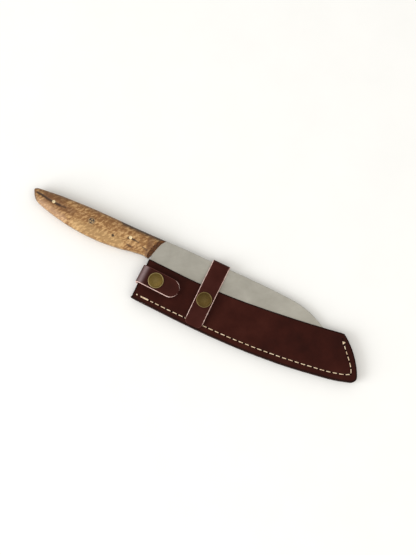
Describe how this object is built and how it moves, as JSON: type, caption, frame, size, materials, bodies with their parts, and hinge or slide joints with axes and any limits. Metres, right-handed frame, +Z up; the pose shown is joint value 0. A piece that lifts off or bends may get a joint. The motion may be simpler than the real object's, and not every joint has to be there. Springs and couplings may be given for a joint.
{
  "type": "sheathed knife",
  "caption": "Full-tang knife with a wooden handle and a wide flat-ground blade, lying in a stitched leather side sheath that two snap straps close",
  "frame": {"origin": "middle of the bounding box's underside, on the surface that the knife and sheath lie on", "axes": "+X along the knife from butt to tip, +Y from the cutting edge towards the spine, +Z up from the surface"},
  "size_m": [0.3335, 0.066, 0.0178],
  "materials": {
    "blade": "satin, fine grinding marks along the blade",
    "scale_front": "oiled spalted hardwood",
    "scale_back": "oiled spalted hardwood",
    "pin_rear": "sanded flush",
    "pin_front": "sanded flush",
    "mosaic_tube": "sanded flush",
    "mosaic_rods": "sanded flush",
    "mosaic_resin": "dark casting resin",
    "back_panel": "smooth dark red-brown vegetable-tanned leather",
    "front_panel": "smooth dark red-brown vegetable-tanned leather",
    "welt": "burnished edge",
    "seam_thread": "waxed cream thread",
    "blade_strap_base": "smooth leather with raw cut edges",
    "blade_strap_fold": "smooth leather with raw cut edges",
    "blade_strap_flap": "smooth leather with raw cut edges",
    "blade_strap_thread": "waxed cream thread",
    "heel_strap_base": "smooth leather with raw cut edges",
    "heel_strap_fold": "smooth leather with raw cut edges",
    "heel_strap_flap": "smooth leather with raw cut edges",
    "heel_strap_thread": "waxed cream thread",
    "blade_snap_stud": "antique brass",
    "blade_snap_post": "antique brass",
    "blade_snap_cap": "antique brass, lighter on the rim",
    "blade_snap_socket": "antique brass",
    "blade_snap_spring": "spring wire",
    "heel_snap_stud": "antique brass",
    "heel_snap_post": "antique brass",
    "heel_snap_cap": "antique brass, lighter on the rim",
    "heel_snap_socket": "antique brass",
    "heel_snap_spring": "spring wire"
  },
  "bodies": {
    "sheath": {"back_panel": "back_panel", "front_panel": "front_panel", "welt": "welt", "seam_thread": "seam_thread", "blade_strap_base": "blade_strap_base", "blade_strap_fold": "blade_strap_fold", "blade_strap_thread": "blade_strap_thread", "heel_strap_base": "heel_strap_base", "heel_strap_fold": "heel_strap_fold", "heel_strap_thread": "heel_strap_thread", "blade_snap_stud": "blade_snap_stud", "blade_snap_post": "blade_snap_post", "heel_snap_stud": "heel_snap_stud", "heel_snap_post": "heel_snap_post"},
    "knife": {"blade": "blade", "scale_front": "scale_front", "scale_back": "scale_back", "pin_rear": "pin_rear", "pin_front": "pin_front", "mosaic_tube": "mosaic_tube", "mosaic_rods": "mosaic_rods", "mosaic_resin": "mosaic_resin"},
    "blade_strap": {"blade_strap_flap": "blade_strap_flap", "blade_snap_cap": "blade_snap_cap", "blade_snap_socket": "blade_snap_socket", "blade_snap_spring": "blade_snap_spring"},
    "heel_strap": {"heel_strap_flap": "heel_strap_flap", "heel_snap_cap": "heel_snap_cap", "heel_snap_socket": "heel_snap_socket", "heel_snap_spring": "heel_snap_spring"}
  },
  "joints": [
    {"name": "knife_draw", "type": "slide", "parent": "sheath", "child": "knife", "axis": [-0.9999, 0, 0.0127], "range_m": [0, 0.21]},
    {"name": "blade_strap_hinge", "type": "hinge", "parent": "sheath", "child": "blade_strap", "pos_m": [0.01553, 0.02806, 0.00598], "axis": [-0.9988, 0.0471, 0.0127], "range_deg": [0, 160], "deforming": ["blade_strap_fold", "blade_snap_spring"]},
    {"name": "heel_strap_hinge", "type": "hinge", "parent": "sheath", "child": "heel_strap", "pos_m": [-0.04826, -0.00503, 0.0068], "axis": [-0.075, -0.9972, 0.001], "range_deg": [0, 140], "deforming": ["heel_strap_fold", "heel_snap_spring"]}
  ]
}
